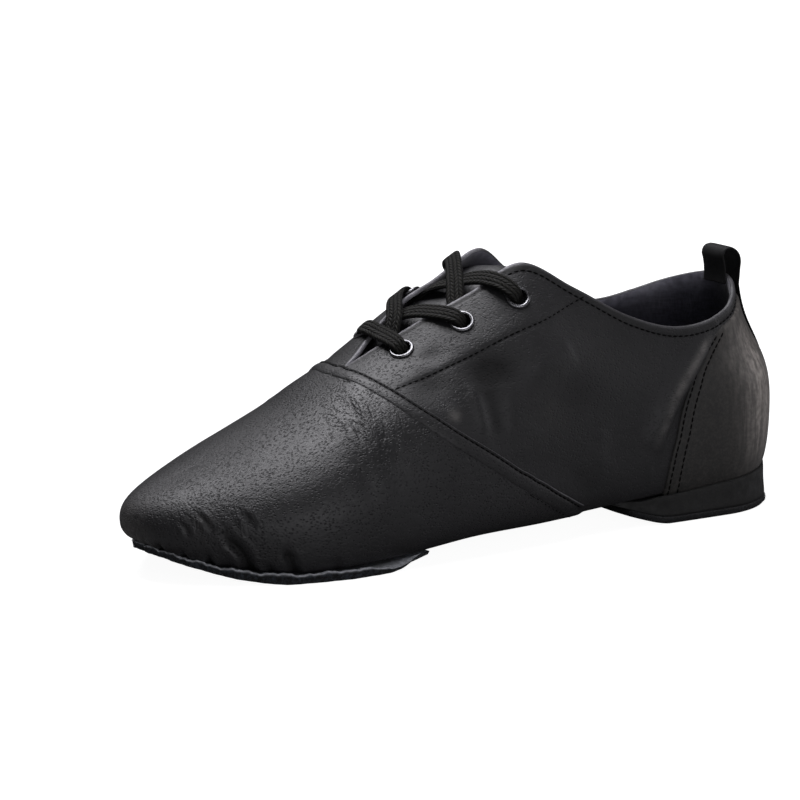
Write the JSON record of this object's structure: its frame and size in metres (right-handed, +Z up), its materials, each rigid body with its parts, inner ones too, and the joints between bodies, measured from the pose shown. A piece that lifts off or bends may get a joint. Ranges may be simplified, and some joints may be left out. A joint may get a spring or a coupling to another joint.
{
  "type": "low-cut lace-up jazz shoe",
  "caption": "Soft low-cut black leather jazz shoe with an open lace-up throat, a split suede and rubber sole, a raised vamp seam and a pull loop at the heel.",
  "frame": {"origin": "on the floor under the middle of the bounding box", "axes": "+X to the toe, +Y to the outer (lateral) side of a left foot, +Z up"},
  "size_m": [0.2526, 0.0828, 0.0942],
  "materials": {
    "upper_leather": "satin black leather with fine pores",
    "counter_leather": "dull black leather, a little brown with wear",
    "tongue_leather": "dull black leather",
    "insole_cloth": "dark navy lining cloth",
    "sole_suede": "bluish black suede with a fuzzy edge",
    "heel_rubber": "matt black rubber",
    "eyelet_metal": "gunmetal with a bright inner rim",
    "lace_braid": "flat black braid",
    "ribbon_weave": "charcoal woven ribbon with a satin face"
  },
  "bodies": {
    "root": {"upper": "upper_leather", "vamp_band": "upper_leather", "heel_counter": "counter_leather", "tongue": "tongue_leather", "insole": "insole_cloth", "sole_forefoot": "sole_suede", "heel_lift": "sole_suede", "heel_block": "heel_rubber", "eyelet_1": "eyelet_metal", "eyelet_2": "eyelet_metal", "eyelet_3": "eyelet_metal", "eyelet_4": "eyelet_metal", "eyelet_5": "eyelet_metal", "eyelet_6": "eyelet_metal", "lace_bar": "lace_braid", "lace_cross_1": "lace_braid", "lace_cross_2": "lace_braid", "pull_ribbon": "ribbon_weave"}
  },
  "joints": []
}
